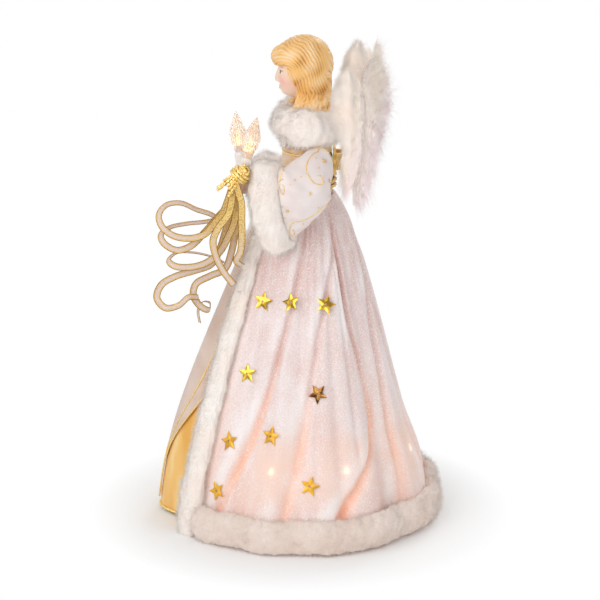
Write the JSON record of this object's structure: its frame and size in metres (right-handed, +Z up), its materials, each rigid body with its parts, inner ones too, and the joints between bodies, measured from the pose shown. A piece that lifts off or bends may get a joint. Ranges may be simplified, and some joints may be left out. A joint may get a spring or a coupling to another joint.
{
  "type": "angel tree topper",
  "caption": "Lit angel figure in a fur-trimmed velvet robe, with feather wings and flame candles, on a hollow cone that slips over the tip of a tree.",
  "frame": {"origin": "centre of the cone's rim, on the plane the topper stands on", "axes": "+Z up, the figure faces -Y, its left hand is on +X"},
  "size_m": [0.2072, 0.2082, 0.354],
  "materials": {
    "card": "uncoated",
    "moulded_body": "matte",
    "brocade": "brocade with gold thread",
    "gold_cord": "twisted metallic cord",
    "painted_porcelain": "painted, satin",
    "white_fur": "long pile",
    "velvet": "panne velvet, pale pink",
    "gold_satin": "satin",
    "organza": "sheer with gold edge",
    "lamp_wire": "matte",
    "gilt_bracket": "gilt",
    "lamp": "clear, lit warm white",
    "gold_foil": "metallised foil",
    "wire": "plain wire",
    "satin": "satin with gold print",
    "candle": "satin",
    "clear_lens": "clear, faceted",
    "feather": "goose feather and fluff",
    "gold_ribbon": "sheer with metallic edges"
  },
  "bodies": {
    "figure": {"support_cone": "card", "torso_form": "moulded_body", "bodice": "brocade", "waist_cord": "gold_cord", "head": "painted_porcelain", "fur_collar": "white_fur", "overskirt": "velvet", "hem_fur": "white_fur", "gold_underskirt": "gold_satin", "sheer_apron": "organza", "lamp_wire": "lamp_wire", "wing_bracket": "gilt_bracket", "skirt_lamp_1": "lamp", "skirt_lamp_2": "lamp", "skirt_lamp_3": "lamp", "skirt_lamp_4": "lamp", "skirt_lamp_5": "lamp", "skirt_lamp_6": "lamp", "skirt_lamp_7": "lamp", "skirt_lamp_8": "lamp", "star_sequin_1": "gold_foil", "star_sequin_2": "gold_foil", "star_sequin_3": "gold_foil", "star_sequin_4": "gold_foil", "star_sequin_5": "gold_foil", "star_sequin_6": "gold_foil", "star_sequin_7": "gold_foil", "star_sequin_8": "gold_foil", "star_sequin_9": "gold_foil", "left_front_trim": "white_fur", "right_front_trim": "white_fur"},
    "left_arm": {"left_arm_wire": "wire", "left_sleeve": "satin", "left_cuff": "white_fur", "left_hand": "painted_porcelain", "left_candle_tube": "candle", "left_candle_bulb": "lamp", "ribbon_tie": "gold_foil", "ribbon_inner": "gold_ribbon", "ribbon_streamer": "gold_ribbon", "ribbon_top_loop": "gold_ribbon", "ribbon_second_loop": "gold_ribbon", "ribbon_third_loop": "gold_ribbon", "ribbon_long_curl": "gold_ribbon", "ribbon_knot_curl": "gold_ribbon"},
    "right_arm": {"right_arm_wire": "wire", "right_sleeve": "satin", "right_cuff": "white_fur", "right_hand": "painted_porcelain", "right_candle_tube": "candle", "right_candle_bulb": "lamp"},
    "left_lens": {"left_flame_lens": "clear_lens"},
    "right_lens": {"right_flame_lens": "clear_lens"},
    "left_wing": {"left_wing_frame": "wire", "left_flight_feathers": "feather", "left_covert_feathers": "feather"},
    "right_wing": {"right_wing_frame": "wire", "right_flight_feathers": "feather", "right_covert_feathers": "feather"}
  },
  "joints": [
    {"name": "left_arm_swing", "type": "hinge", "parent": "figure", "child": "left_arm", "pos_m": [0.03, 0.011, 0.27], "axis": [0, 0, 1], "range_deg": [0, 25]},
    {"name": "right_arm_swing", "type": "hinge", "parent": "figure", "child": "right_arm", "pos_m": [-0.03, 0.011, 0.27], "axis": [0, 0, -1], "range_deg": [0, 25]},
    {"name": "left_wing_fold", "type": "hinge", "parent": "figure", "child": "left_wing", "pos_m": [0.007, 0.031, 0.2648], "axis": [0, 0, 1], "range_deg": [-8, 45]},
    {"name": "right_wing_fold", "type": "hinge", "parent": "figure", "child": "right_wing", "pos_m": [-0.007, 0.031, 0.2648], "axis": [0, 0, -1], "range_deg": [-20, 33]},
    {"name": "left_lens_pull", "type": "slide", "parent": "left_arm", "child": "left_lens", "axis": [0.1005, 0.2413, 0.9652], "range_m": [0, 0.008]},
    {"name": "right_lens_pull", "type": "slide", "parent": "right_arm", "child": "right_lens", "axis": [-0.2905, -0.1002, 0.9516], "range_m": [0, 0.008]}
  ]
}
